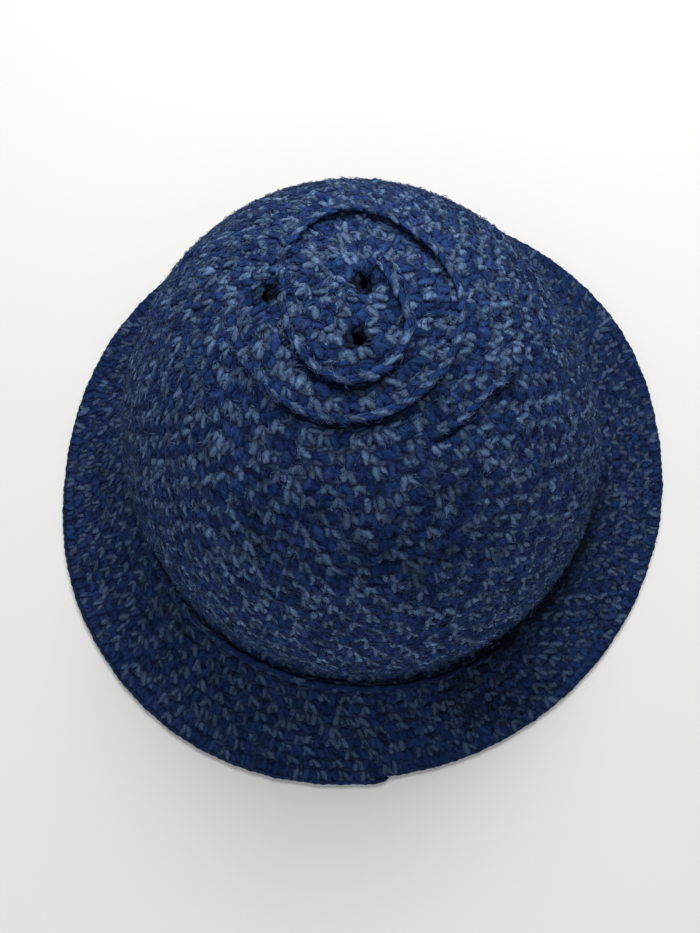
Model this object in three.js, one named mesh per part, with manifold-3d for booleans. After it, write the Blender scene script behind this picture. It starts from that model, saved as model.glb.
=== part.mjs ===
// A crocheted hat: a hollow dome crown and a flared brim that lies on the floor.
// Units are millimetres, +Z is up and the floor is at z = 0. Angles are in degrees from +X.
import * as THREE from 'three';
import { mergeVertices } from 'three/addons/utils/BufferGeometryUtils.js';
import Module from 'manifold-3d';

// Fabric
const FABRIC_THICKNESS = 4;
const JOIN_GAP = 0.3;

// Crown: an upright side below and a rounded dome above, with its top a little to one side
const CROWN_RADIUS = 97.5;
const CROWN_HEIGHT = 146;
const DOME_FOOT_HEIGHT = 34;
const DOME_FALL_POWER = 1.22;
const JOIN_HEIGHT = 28;
const JOIN_RADIUS = 96;
const CROWN_LEAN = { x: -8, y: 4 };

// Soft dents in the crown: angle, height, depth (a swelling where negative), and spread along the wall
const CROWN_DENTS = [
  { angle: 268, height: 92, depth: 1.8, spread: 50 },
  { angle: 160, height: 104, depth: 1.4, spread: 46 },
  { angle: 95, height: 110, depth: -7, spread: 62 },
  { angle: 18, height: 88, depth: 2.2, spread: 56 },
];

// Raised spiral of loops on the crown's top: angle, and distance from the top along the wall
const SPIRAL_RIDGE = [
  { angle: 45, distance: 12 },
  { angle: 0, distance: 14 },
  { angle: -45, distance: 23 },
  { angle: -90, distance: 27 },
  { angle: -135, distance: 21 },
  { angle: -180, distance: 18 },
  { angle: -225, distance: 23.5 },
  { angle: -270, distance: 31 },
  { angle: -315, distance: 30 },
  { angle: -360, distance: 34 },
  { angle: -405, distance: 35.5 },
  { angle: -450, distance: 37.5 },
  { angle: -495, distance: 36.5 },
  { angle: -520, distance: 36 },
];
const RIDGE_RADIUS = 1.5;

// Open holes between the stitches of the crown's top: place seen from above, and radius
const CROWN_HOLES = [
  { x: -3, y: 6, radius: 1.8 },
  { x: -4.5, y: -10.5, radius: 1.9 },
  { x: -30, y: 4.5, radius: 2.1 },
];
const HOLE_DEPTH = 24;

// Brim: it falls from the join in a hollow curve, then lies flat over the width of its foot
const BRIM_FALL_POWER = 1.5;
const FOOT_WIDTH = 7;
const EDGE_ROUNDING = 1.4;
const END_STEP = 2.4;
const END_ANGLE = 272;

// Brim edge: angle, reach from the axis, and lift of the foot off the floor
const BRIM_EDGE = [
  { angle: 0, reach: 140, lift: 0 },
  { angle: 30, reach: 143, lift: 5 },
  { angle: 60, reach: 141, lift: 6 },
  { angle: 90, reach: 139, lift: 0 },
  { angle: 120, reach: 140, lift: 0 },
  { angle: 150, reach: 140, lift: 0 },
  { angle: 180, reach: 139, lift: 0 },
  { angle: 210, reach: 142.5, lift: 0 },
  { angle: 240, reach: 143, lift: 0 },
  { angle: 270, reach: 138.5, lift: 0 },
  { angle: 300, reach: 136, lift: 0 },
  { angle: 330, reach: 136.5, lift: 0 },
];

// Hollows in the brim beside the crown: angle, depth, and half of the angle that each one spans
const BRIM_HOLLOWS = [
  { angle: 222, depth: 4.5, half_span: 36 },
  { angle: 322, depth: 4.5, half_span: 36 },
];
const HOLLOW_MIDDLE = 14;
const HOLLOW_REACH = 14;

// Raised round of loops on the brim, beside the crown
const JOIN_RIDGE_DISTANCE = 6;
const JOIN_RIDGE_HEIGHT = 1.4;
const JOIN_RIDGE_HALF_WIDTH = 2.6;

// Fineness of the facets
const CROWN_SIDES = 64;
const BRIM_SIDES = 96;
const DOME_ROWS = 20;
const SIDE_ROWS = 3;
const INSIDE_ROWS = 12;
const FALL_ROWS = 4;
const RIDGE_SIDES = 6;
const RIDGE_STEPS = 90;
const HOLE_SIDES = 10;

const FABRIC_COLOUR = 0x333c5a;
const FABRIC_ROUGHNESS = 0.95;

const { degToRad, euclideanModulo, lerp, radToDeg } = THREE.MathUtils;
const wasm = await Module();
wasm.setup();

// A smooth bump: 1 in the middle, 0 from a distance of 1 outwards
function bump(distance) {
  return 0.5 + 0.5 * Math.cos(Math.PI * Math.min(Math.abs(distance), 1));
}

// Difference between two angles, from -180 to 180
function angleBetween(a, b) {
  return euclideanModulo(a - b + 180, 360) - 180;
}

// One column of the brim's edge at any angle, on a smooth closed curve through the rows
function alongEdge(column, angle) {
  const count = BRIM_EDGE.length;
  const place = euclideanModulo(angle, 360) / 360 * count;
  const row = Math.floor(place);
  const t = place - row;
  const value = (step) => BRIM_EDGE[(row + step + count) % count][column];
  const rise = value(1) - value(0);
  const slopeIn = (value(1) - value(-1)) / 2;
  const slopeOut = (value(2) - value(0)) / 2;
  const bend = slopeIn + slopeOut - 2 * rise;
  return value(0) + t * (slopeIn + t * (rise - slopeIn - bend + t * bend));
}

// How far the brim reaches, growing round the hat to the step where the last round ends
function edgeReach(angle) {
  const turn = euclideanModulo(angle - END_ANGLE, 360) / 360;
  return alongEdge('reach', angle) + END_STEP * (turn - 0.5);
}

// How far the brim's foot is lifted off the floor
function footLift(angle) {
  return Math.max(0, alongEdge('lift', angle));
}

// Moves a point of a round crown to the dented, leaning one
function shapeCrown(point) {
  const angle = Math.atan2(point.y, point.x);
  const radius = Math.hypot(point.x, point.y);
  const rise = (point.z - JOIN_HEIGHT) / (CROWN_HEIGHT - JOIN_HEIGHT);
  let dent = 0;
  for (const row of CROWN_DENTS) {
    const across = degToRad(angleBetween(radToDeg(angle), row.angle)) * radius;
    dent += row.depth * bump(Math.hypot(across, point.z - row.height) / row.spread);
  }
  const shaped = radius - dent * bump(1 - 3 * Math.max(rise, 0)) * (radius / CROWN_RADIUS);
  point.x = shaped * Math.cos(angle) + CROWN_LEAN.x * rise;
  point.y = shaped * Math.sin(angle) + CROWN_LEAN.y * rise;
  return point;
}

// A point of the round dome's section: turn is 0 at its top and a quarter turn at its foot
function domePoint(turn, inset) {
  const radius = (CROWN_RADIUS - inset) * Math.sin(turn);
  const rise = (CROWN_HEIGHT - DOME_FOOT_HEIGHT - inset) * Math.abs(Math.cos(turn)) ** DOME_FALL_POWER;
  return new THREE.Vector2(radius, DOME_FOOT_HEIGHT + rise);
}

// The crown's section: down the inside from its top, over the join and up the outside
function crownSection() {
  const quarter = Math.PI / 2;
  const section = [];
  for (let i = 0; i <= INSIDE_ROWS; i++) {
    section.push(domePoint(quarter * i / INSIDE_ROWS, FABRIC_THICKNESS));
  }
  section.push(new THREE.Vector2(JOIN_RADIUS - FABRIC_THICKNESS, JOIN_HEIGHT));
  for (let i = 0; i < SIDE_ROWS; i++) {
    const t = i / SIDE_ROWS;
    const radius = lerp(CROWN_RADIUS, JOIN_RADIUS, (1 - t) ** 2);
    section.push(new THREE.Vector2(radius, lerp(JOIN_HEIGHT, DOME_FOOT_HEIGHT, t)));
  }
  for (let i = DOME_ROWS; i >= 0; i--) {
    section.push(domePoint(quarter * i / DOME_ROWS, 0));
  }
  return section;
}

// Makes a solid from a closed geometry
function solidOf(geometry) {
  geometry.deleteAttribute('normal');
  geometry.deleteAttribute('uv');
  const merged = mergeVertices(geometry, 1e-3);
  const triangles = [];
  for (let i = 0; i < merged.index.count; i += 3) {
    const corners = [0, 1, 2].map((k) => merged.index.getX(i + k));
    if (new Set(corners).size === 3) triangles.push(...corners);
  }
  const mesh = new wasm.Mesh({
    numProp: 3,
    vertProperties: new Float32Array(merged.attributes.position.array),
    triVerts: new Uint32Array(triangles),
  });
  return new wasm.Manifold(mesh);
}

// Makes a geometry from a solid
function geometryOf(solid) {
  const mesh = solid.getMesh();
  const geometry = new THREE.BufferGeometry();
  geometry.setAttribute('position', new THREE.BufferAttribute(mesh.vertProperties, 3));
  geometry.setIndex(new THREE.BufferAttribute(mesh.triVerts, 1));
  geometry.computeVertexNormals();
  return geometry;
}

// The plain crown wall, turned from its section and then shaped
function crownWall() {
  const geometry = new THREE.LatheGeometry(crownSection(), CROWN_SIDES).rotateX(Math.PI / 2);
  const position = geometry.attributes.position;
  const point = new THREE.Vector3();
  for (let i = 0; i < position.count; i++) {
    shapeCrown(point.fromBufferAttribute(position, i));
    position.setXYZ(i, point.x, point.y, point.z);
  }
  return solidOf(geometry);
}

// A point of the crown's outside, by angle and distance from its top along the wall
function crownPoint(angle, distance) {
  const place = domePoint(distance / CROWN_RADIUS, 0);
  const x = place.x * Math.cos(degToRad(angle));
  const y = place.x * Math.sin(degToRad(angle));
  return shapeCrown(new THREE.Vector3(x, y, place.y));
}

// The spiral of raised loops, half sunk in the crown's outside
function spiralRidge() {
  const middle = SPIRAL_RIDGE.map((row) => crownPoint(row.angle, row.distance));
  const path = new THREE.CatmullRomCurve3(middle);
  const round = new THREE.Shape();
  for (let i = 0; i < RIDGE_SIDES; i++) {
    const turn = 2 * Math.PI * i / RIDGE_SIDES;
    const corner = [RIDGE_RADIUS * Math.cos(turn), RIDGE_RADIUS * Math.sin(turn)];
    if (i === 0) round.moveTo(...corner);
    else round.lineTo(...corner);
  }
  const settings = { steps: RIDGE_STEPS, extrudePath: path, bevelEnabled: false };
  return solidOf(new THREE.ExtrudeGeometry(round, settings));
}

// An upright pin that opens one hole in the crown's top
function holePin(hole) {
  const geometry = new THREE.CylinderGeometry(hole.radius, hole.radius, HOLE_DEPTH, HOLE_SIDES);
  geometry.rotateX(Math.PI / 2);
  geometry.translate(hole.x, hole.y, CROWN_HEIGHT - FABRIC_THICKNESS);
  return solidOf(geometry);
}

function crownGeometry() {
  let crown = crownWall().add(spiralRidge());
  for (const hole of CROWN_HOLES) crown = crown.subtract(holePin(hole));
  return geometryOf(crown);
}

// Height of the brim's top face, without its raised round, at a radius and an angle
function brimHeight(radius, angle) {
  const flatFrom = edgeReach(angle) - FOOT_WIDTH;
  const foot = FABRIC_THICKNESS + footLift(angle);
  const left = Math.max(0, (flatFrom - radius) / (flatFrom - JOIN_RADIUS));
  let height = lerp(foot, JOIN_HEIGHT - JOIN_GAP, left ** BRIM_FALL_POWER);
  for (const row of BRIM_HOLLOWS) {
    const across = bump(angleBetween(angle, row.angle) / row.half_span);
    height -= row.depth * across * bump((radius - JOIN_RADIUS - HOLLOW_MIDDLE) / HOLLOW_REACH);
  }
  return Math.max(height, foot);
}

// Height of the brim's underside, a wall's thickness below its top face and never under its foot
function brimUnderside(radius, angle) {
  const step = 0.5;
  const height = brimHeight(radius, angle);
  const slope = (brimHeight(radius + step, angle) - height) / step;
  const depth = FABRIC_THICKNESS * Math.hypot(1, slope);
  return Math.max(height - depth, footLift(angle));
}

// The closed section of the brim at one angle: along the top, round the edge and back underneath
function brimSection(angle) {
  const reach = edgeReach(angle);
  const lift = footLift(angle);
  const flatFrom = reach - FOOT_WIDTH;
  const ridge = JOIN_RADIUS + JOIN_RIDGE_DISTANCE;
  const fallFrom = ridge + JOIN_RIDGE_HALF_WIDTH;
  const top = [JOIN_RADIUS, ridge - JOIN_RIDGE_HALF_WIDTH, ridge, fallFrom];
  for (let i = 1; i <= FALL_ROWS; i++) top.push(lerp(fallFrom, flatFrom, i / FALL_ROWS));
  const section = [];
  for (const radius of top) {
    const raised = JOIN_RIDGE_HEIGHT * bump((radius - ridge) / JOIN_RIDGE_HALF_WIDTH);
    section.push([radius, brimHeight(radius, angle) + raised]);
  }
  section.push([reach - EDGE_ROUNDING, lift + FABRIC_THICKNESS]);
  section.push([reach, lift + FABRIC_THICKNESS - EDGE_ROUNDING]);
  section.push([reach, lift + EDGE_ROUNDING]);
  section.push([reach - EDGE_ROUNDING, lift]);
  for (const radius of top.slice(3).reverse()) section.push([radius, brimUnderside(radius, angle)]);
  section.push([JOIN_RADIUS - FABRIC_THICKNESS, JOIN_HEIGHT - JOIN_GAP]);
  const turn = degToRad(angle);
  return section.map(([radius, z]) => new THREE.Vector3(radius * Math.cos(turn), radius * Math.sin(turn), z));
}

// Skins a ring of closed sections that all have the same number of points
function brimGeometry() {
  const points = [];
  const faces = [];
  const loop = brimSection(0).length;
  for (let s = 0; s < BRIM_SIDES; s++) {
    const next = (s + 1) % BRIM_SIDES;
    points.push(...brimSection(360 * s / BRIM_SIDES));
    for (let i = 0; i < loop; i++) {
      const j = (i + 1) % loop;
      faces.push(s * loop + i, s * loop + j, next * loop + j);
      faces.push(s * loop + i, next * loop + j, next * loop + i);
    }
  }
  const geometry = new THREE.BufferGeometry().setFromPoints(points);
  geometry.setIndex(faces);
  geometry.computeVertexNormals();
  return geometry;
}

// One named piece of the hat
function piece(name, geometry) {
  const material = new THREE.MeshStandardMaterial({
    color: FABRIC_COLOUR,
    roughness: FABRIC_ROUGHNESS,
    metalness: 0,
  });
  const mesh = new THREE.Mesh(geometry, material);
  mesh.name = name;
  return mesh;
}

// The hat stands with the middle of its outline over the origin
const fabric = new THREE.Group();
fabric.add(piece('crown', crownGeometry()));
fabric.add(piece('brim', brimGeometry()));
const outline = new THREE.Box3().setFromObject(fabric);
fabric.position.x = -(outline.min.x + outline.max.x) / 2;
fabric.position.y = -(outline.min.y + outline.max.y) / 2;
const hat = new THREE.Group();
hat.add(fabric);

export default hat;
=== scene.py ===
"""Crocheted bucket hat in navy and grey yarn, dressed stitch by stitch around its solid model."""

import math
from collections import namedtuple
from types import SimpleNamespace

import bpy
import numpy as np
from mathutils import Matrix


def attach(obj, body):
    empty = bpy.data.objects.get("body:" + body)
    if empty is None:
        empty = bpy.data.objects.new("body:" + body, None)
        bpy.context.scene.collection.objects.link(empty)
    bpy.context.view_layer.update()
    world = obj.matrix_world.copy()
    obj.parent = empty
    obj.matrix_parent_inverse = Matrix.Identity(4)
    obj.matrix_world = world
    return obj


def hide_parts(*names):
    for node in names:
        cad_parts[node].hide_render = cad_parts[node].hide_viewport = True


bl_info = {
    "name": "Crocheted Bucket Hat",
    "version": (1, 0, 0),
    "blender": (4, 5, 0),
    "location": "View3D > Sidebar > Hat",
    "description": "Crochets a bucket hat from yarn stitches over its solid crown and brim",
    "category": "Add Mesh",
}

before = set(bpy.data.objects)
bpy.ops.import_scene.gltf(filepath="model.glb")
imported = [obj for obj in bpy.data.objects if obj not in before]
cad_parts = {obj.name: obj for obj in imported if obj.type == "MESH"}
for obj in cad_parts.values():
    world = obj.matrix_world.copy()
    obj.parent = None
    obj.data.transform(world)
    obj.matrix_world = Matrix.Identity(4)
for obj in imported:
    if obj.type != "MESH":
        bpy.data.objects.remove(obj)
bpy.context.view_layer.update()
MM = 0.001
FULL_TURN = 2 * math.pi


def table(columns, *rows):
    """A short table of numbers with named columns."""
    return np.array(list(rows), dtype=[(name, float) for name in columns.split()])


# Sizes of the solid hat, which the yarn follows; the tables are in millimetres and degrees
FABRIC_THICKNESS = 4 * MM
CROWN_RADIUS = 97.5 * MM
CROWN_HEIGHT = 146 * MM
DOME_FOOT_HEIGHT = 34 * MM
DOME_FALL_POWER = 1.22
JOIN_HEIGHT = 28 * MM
JOIN_RADIUS = 96 * MM
JOIN_GAP = 0.3 * MM
CROWN_LEAN = np.array([-8, 4, 0]) * MM
CROWN_DENTS = table(
    "angle height depth spread",
    (268, 92, 1.8, 50), (160, 104, 1.4, 46), (95, 110, -7, 62), (18, 88, 2.2, 56),
)
DENTS_FULL_FROM = 1 / 3
SPIRAL_RIDGE = table(
    "angle distance",
    (45, 12), (0, 14), (-45, 23), (-90, 27), (-135, 21), (-180, 18), (-225, 23.5),
    (-270, 31), (-315, 30), (-360, 34), (-405, 35.5), (-450, 37.5), (-495, 36.5), (-520, 36),
)
FAINT_RIDGE = table(
    "angle distance",
    (344, 57), (336, 54), (330, 51), (322, 50), (316, 50), (310, 49.5), (304, 49),
)
CROWN_HOLES = table("x y radius", (-3, 6, 1.8), (-4.5, -10.5, 1.9), (-30, 4.5, 2.1))
BRIM_SIDES = 96
BRIM_FALL_POWER = 1.5
FOOT_WIDTH = 7 * MM
END_STEP = 2.4 * MM
END_ANGLE = 272
END_CLEARANCE = 0.01
BRIM_EDGE = table(
    "angle reach lift",
    (0, 140, 0), (30, 143, 5), (60, 141, 6), (90, 139, 0), (120, 140, 0), (150, 140, 0),
    (180, 139, 0), (210, 142.5, 0), (240, 143, 0), (270, 138.5, 0), (300, 136, 0), (330, 136.5, 0),
)
BRIM_HOLLOWS = table("angle depth half_span", (222, 4.5, 36), (322, 4.5, 36))
HOLLOW_MIDDLE = 14 * MM
HOLLOW_REACH = 14 * MM
BRIM_WIDTH = 44 * MM
JOIN_RIDGE_DISTANCE = 6 * MM
JOIN_RIDGE_HEIGHT = 1.4 * MM
JOIN_RIDGE_HALF_WIDTH = 2.6 * MM

# How finely curves and meshes are divided
DOME_STEPS = 400
SIDE_STEPS = 24
RIDGE_STEPS = 30
JOIN_STEPS = 200
EDGE_STEPS = 600
CROWN_COLUMNS = 150
BRIM_COLUMNS = 210
FACE_RINGS_PER_ROUND = 2
BACK_RINGS_PER_ROUND = 3
HOLE_SIDES = 14
LEG_FACETS = (5, 4)
LOOP_FACETS = (5, 3)
FIBRE_FACETS = (3, 2)
SLOPE_STEP = 0.5 * MM

# How the ground cloth is laid under the stitches
SHELL_DEPTH = 0.7 * MM
JOIN_OVERLAP = 1.4 * MM
COLUMNS_PER_WAVE = 3
CROWN_BACK_WAVE = 0.35 * MM
BRIM_BACK_WAVE = 0.3 * MM
HOLE_ROD = (CROWN_HEIGHT - 40 * MM, CROWN_HEIGHT + 20 * MM)
FUNNEL_REACH = 3.6 * MM
FUNNEL_DEPTH = 1.6 * MM

# How the rounds run, and how the legs sit in them
FIRST_ROUND = 0.25
LEAST_STITCHES = 6
JOIN_MARGIN = 0.6 * MM
HOLE_COVER = 0.8 * MM
LEG_DEPTH = 0.75 * MM
LEAST_GIRTH = 0.1
LUMP_SCALE = 620.0
FIBRE_BANDS = 3
FIBRE_ARCH = 2.0
BRIM_LEG_SPREAD = 1.06
NAVY_EDGE = 1.8
EDGE_WIDTH = 2.0 * MM
EDGE_MARGIN = 0.6 * MM

# How stitches, loops and fibres stray: turns in degrees, except a fibre's, which are in radians
STITCH = SimpleNamespace(
    lean_spread=7, slant_spread=6, aside=0.25, aside_spread=0.18 * MM, drop=0.4 * MM,
    drop_spread=0.35 * MM, depth_spread=0.22 * MM, size_spread=0.12, dye_spread=0.12,
    grey_tone=(0.8, 1), navy_tone=0.2,
)
# The loops are darker in tone than the legs: painted shade between the rounds, lifted towards the crown's
# top where the light falls
LOOP = SimpleNamespace(
    slant=-12, slant_spread=16, aside=0.3, aside_spread=0.16, up=0.42, up_spread=0.08,
    width=0.7, length=0.85, size_spread=0.12, own_tone=0.75, tone=0.45, dye=(-0.8, 0.2),
    top_tone=1.1, top_dye=0.7,
)
FIBRE = SimpleNamespace(
    turn=1.25, girth=0.5, arch=0.6, lift=0.1 * MM, aside=0.55, slide=0.4, swing=0.5, rise=0.16,
    tilt=0.6, thickness=(0.15 * MM, 0.3 * MM), length=(2.2 * MM, 4.6 * MM), dye=(-0.1, 0.35),
    tone=0.15, leg_tone=0.7, tone_spread=0.12,
)

# Ropes of raised loops: sizes in millimetres, slant in degrees
Rope = namedtuple("Rope", "height width length pitch slant grey_share raised dye")
# The last column shifts each loop's brightness: on the spiral and faint ridges it is a painted highlight on
# their crests
SPIRAL_ROPE = Rope(2.6, 2.5, 7.6, 3.9, -13, 0.5, 0.6, 0.3)
FAINT_ROPE = Rope(2.2, 2.2, 7.4, 3.9, -13, 0.5, 0.1, 0.4)
CREASE_SHADOW_ROPE = Rope(1.6, 2.4, 6.0, 2.6, 0, 0, -0.4, -2.6)
JOIN_ROPE = Rope(2.5, 2.6, 10.0, 4.4, 6, 0.04, -0.1, -0.3)
EDGE_ROPE = Rope(2.8, 3.2, 12.0, 3.4, 4, 0, -0.3, -0.5)
ROPE_SLANT_SPREAD = 4
ROPE_SIZE_SPREAD = 0.06
SPIRAL_TONE = 0.85
SPIRAL_FADE = table(
    "along size",
    (0, 0.6), (0.03, 1), (0.22, 1), (0.28, 0.6), (0.34, 0.6), (0.4, 1), (0.57, 1),
    (0.63, 0.78), (0.7, 1), (0.86, 1), (0.94, 0.4), (1, 0.3),
)
SPIRAL_SINK = 1.6 * MM
FAINT_FADE = table("along size", (0, 0.4), (0.3, 1), (0.8, 1), (1, 0.5))
# The rope of very dark yarn laid under the ridges' front arcs is a painted shadow
CREASE_ASIDE = 2.2 * MM
CREASE_SIZES = (0.75, 1.1)
CREASE_FRONT = -4 * MM
SPIRAL_CREASE_END = 0.9
JOIN_RIDGE_SPAN = (224, 302)
JOIN_FADE = table("along size", (0, 0.5), (0.25, 1), (0.75, 1), (1, 0.5))
EDGE_INSET = 1.7 * MM
EDGE_TILT = 0.6
EDGE_UNEVENNESS = 0.5 * MM

# Where the yarn is sunk, and where painted shade darkens it: patches in millimetres, the fold in degrees
# round the hat
CREASE_SHADE = 2.6
CREASE_REACH = 2.3 * MM
CREASE_DEPTH = 1.0 * MM
FUNNEL_SHRINK = 0.35
# Painted shade: a band across the crown's front and a patch on the brim's front right, darkened as if in
# shade
DARK_PATCHES = table(
    "x y z reach depth",
    (-28, -60, 108, 34, 0.63), (14, -62, 108, 36, 0.8), (52, -104, 10, 44, 0.78),
)
PATCH_FADE = 0.25
PATCH_DEEPEST = 3
# Painted shade in the fold where the brim presses up against the crown
FOLD_ANGLE = 322
FOLD_HALF_SPAN = 56
FOLD_OFFSET = 4 * MM
FOLD_REACH = 17 * MM
FOLD_SHADE = 2.2
TOP_REACH = 75 * MM

# How the finishes are mixed
YARN = SimpleNamespace(
    fibre_girth=0.8, fibre_stretch=0.9, fibre_shift=37.0, fibre_scale=2.6, fibre_detail=4.0,
    ragged_scale=1100.0, ragged_detail=3.0, crest=0.8, crest_rise=0.3, crest_sides=2.5,
    crest_ragged=1.9, crest_ends=0.5, crest_range=(-0.45, 0.75), streak_range=(0.3, 0.7),
    shade=0.7, dye_shade=0.4, least_shade=0.12, streak_shade=0.75, ply_shade=0.2, mean_shade=0.48,
    hue_steps=7.3, grey_hue=0.7, green_hue=0.3, ply_relief=0.6, fibre_relief=0.5,
    bump_strength=0.5, bump_height=0.5 * MM, roughness=0.95, specular=0.06, nap_roughness=0.25,
)
# The ground's pit colour is painted shade round the loose gaps
GROUND = SimpleNamespace(
    patch_scale=260.0, patch_detail=3.0, grain_scale=1400.0, grain_detail=4.0, deep=0.65,
    mild_navy=0.9, mild_grey=0.25, pit=0.12, bump_strength=0.6, bump_height=0.3 * MM,
)

# The stage, in metres
FLOOR_HALF = 12.0
FLOOR_ROUGHNESS = 0.9
SKY_COLOUR = (0.94, 0.97, 1.0, 1)
KEY_PLACE = (0.07, 0.6, 0.9)
KEY_SIZE = 0.6
FILL_PLACE = (-0.1, -0.9, 0.45)
FILL_SIZE = 0.9
SENSOR_HEIGHT_MM = 36
NEAREST_SEEN = 10 * MM


# The hat's surfaces


def bump(distance):
    """A round swelling that is 1 in its middle and 0 from a distance of 1."""
    return 0.5 + 0.5 * np.cos(np.pi * np.minimum(np.abs(distance), 1))


def turn_between(angle, other):
    """The signed turn from one direction to another, in degrees, the short way round."""
    return (np.asarray(angle) - other + 180) % 360 - 180


def on_ray(angle, radius, height):
    """Points at an angle in degrees, a distance from the brim's middle and a height."""
    turn = np.radians(angle)
    return np.stack([radius * np.cos(turn), radius * np.sin(turn), height], -1) + HAT_SHIFT


def crown_meridian():
    """Distance from the top, radius and height along the crown's outline, down to the join."""
    turn = np.linspace(0, np.pi / 2, DOME_STEPS)
    rise = np.abs(np.cos(turn)) ** DOME_FALL_POWER
    dome_height = DOME_FOOT_HEIGHT + (CROWN_HEIGHT - DOME_FOOT_HEIGHT) * rise
    fall = np.linspace(0, 1, SIDE_STEPS)[1:]
    side_height = DOME_FOOT_HEIGHT + (JOIN_HEIGHT - DOME_FOOT_HEIGHT) * fall
    side_radius = CROWN_RADIUS + (JOIN_RADIUS - CROWN_RADIUS) * fall**2
    radius = np.concatenate([CROWN_RADIUS * np.sin(turn), side_radius])
    height = np.concatenate([dome_height, side_height])
    steps = np.hypot(np.diff(radius), np.diff(height))
    return np.concatenate([[0], np.cumsum(steps)]), radius, height


MERIDIAN, MERIDIAN_RADIUS, MERIDIAN_HEIGHT = crown_meridian()
CROWN_LENGTH = MERIDIAN[-1]


def crown_place(angle, distance):
    """Points on the crown at an angle in degrees and a distance from the top along the cloth."""
    radius = np.interp(distance, MERIDIAN, MERIDIAN_RADIUS)
    height = np.interp(distance, MERIDIAN, MERIDIAN_HEIGHT)
    rise = (height - JOIN_HEIGHT) / (CROWN_HEIGHT - JOIN_HEIGHT)
    dent = np.zeros_like(radius)
    for row in CROWN_DENTS:
        across = np.radians(turn_between(angle, row["angle"])) * radius
        away = np.hypot(across, height - row["height"] * MM)
        dent = dent + row["depth"] * MM * bump(away / (row["spread"] * MM))
    fading = bump(1 - np.maximum(rise, 0) / DENTS_FULL_FROM)
    shaped = radius - dent * fading * radius / CROWN_RADIUS
    return on_ray(angle, shaped, height) + rise[..., None] * CROWN_LEAN


def smooth_column(values, place, ends):
    """A column on a smooth curve between its rows; ends is wrap where it closes, or else edge."""
    near = np.minimum(np.floor(place).astype(int), len(values) - 1)
    t = place - near
    before, here, there, after = (np.pad(values, (1, 2), mode=ends)[near + step] for step in range(4))
    slope_in = (there - before) / 2
    slope_out = (after - here) / 2
    rise = there - here
    bend = slope_in + slope_out - 2 * rise
    return here + t * (slope_in + t * (rise - slope_in - bend + t * bend))


def along_edge(column, angle):
    """A column of the brim's edge at any angle, smooth and closed all round."""
    place = np.mod(angle, 360) / 360 * len(BRIM_EDGE)
    return smooth_column(BRIM_EDGE[column], place, "wrap") * MM


def edge_reach(angle):
    """How far the brim's edge is from the middle, with the step where its last round ends."""
    return along_edge("reach", angle) + END_STEP * (np.mod(angle - END_ANGLE, 360) / 360 - 0.5)


def foot_lift(angle):
    """How high the brim's edge stands off the surface under it."""
    return np.maximum(0, along_edge("lift", angle))


def outline_shift():
    """The move that brings the middle of the brim's outline over the origin."""
    angle = np.arange(BRIM_SIDES) * 360 / BRIM_SIDES
    x = edge_reach(angle) * np.cos(np.radians(angle))
    y = edge_reach(angle) * np.sin(np.radians(angle))
    return np.array([-(x.min() + x.max()) / 2, -(y.min() + y.max()) / 2, 0])


HAT_SHIFT = outline_shift()


def brim_height(radius, angle):
    """The height of the brim's upper face, without its ridge."""
    flat_from = edge_reach(angle) - FOOT_WIDTH
    foot = FABRIC_THICKNESS + foot_lift(angle)
    left = np.maximum(0, (flat_from - radius) / (flat_from - JOIN_RADIUS))
    height = foot + (JOIN_HEIGHT - JOIN_GAP - foot) * left**BRIM_FALL_POWER
    for row in BRIM_HOLLOWS:
        across = bump(turn_between(angle, row["angle"]) / row["half_span"])
        outward = bump((radius - JOIN_RADIUS - HOLLOW_MIDDLE) / HOLLOW_REACH)
        height = height - row["depth"] * MM * across * outward
    return np.maximum(height, foot)


def brim_place(angle, share):
    """Points on the brim's upper face at an angle and a share of the way from join to edge."""
    radius = JOIN_RADIUS + (edge_reach(angle) - JOIN_RADIUS) * share
    ridge = bump((radius - JOIN_RADIUS - JOIN_RIDGE_DISTANCE) / JOIN_RIDGE_HALF_WIDTH)
    return on_ray(angle, radius, brim_height(radius, angle) + JOIN_RIDGE_HEIGHT * ridge)


def brim_underside(angle, share):
    """Points on the brim's lower face, one thickness of fabric under the upper one."""
    radius = JOIN_RADIUS + (edge_reach(angle) - JOIN_RADIUS) * share
    height = brim_height(radius, angle)
    slope = (brim_height(radius + SLOPE_STEP, angle) - height) / SLOPE_STEP
    under = np.maximum(height - FABRIC_THICKNESS * np.hypot(1, slope), foot_lift(angle))
    return on_ray(angle, radius, under)


def unit(vectors):
    """The vectors at length 1."""
    return vectors / np.maximum(np.linalg.norm(vectors, axis=-1, keepdims=True), 1e-12)


def surface_frame(place, angle, along, step, radius):
    """The cloth's points, and its outward, sideways and downward directions there."""
    spread = np.degrees(np.minimum(SLOPE_STEP / np.maximum(radius, SLOPE_STEP), 1))
    middle = np.maximum(along, step)
    sideways = unit(place(angle + spread, middle) - place(angle - spread, middle))
    downward = unit(place(angle, middle + step) - place(angle, middle - step))
    facing = unit(np.cross(downward, sideways))
    return place(angle, along), facing, sideways, np.cross(sideways, facing)


def crown_frame(angle, distance):
    """The cloth's point and directions on the crown."""
    radius = np.interp(distance, MERIDIAN, MERIDIAN_RADIUS)
    return surface_frame(crown_place, angle, distance, SLOPE_STEP, radius)


def brim_frame(angle, share):
    """The cloth's point and directions on the brim."""
    reach = edge_reach(angle)
    return surface_frame(brim_place, angle, share, SLOPE_STEP / (reach - JOIN_RADIUS), reach)


# Node trees written as Python expressions


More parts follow.
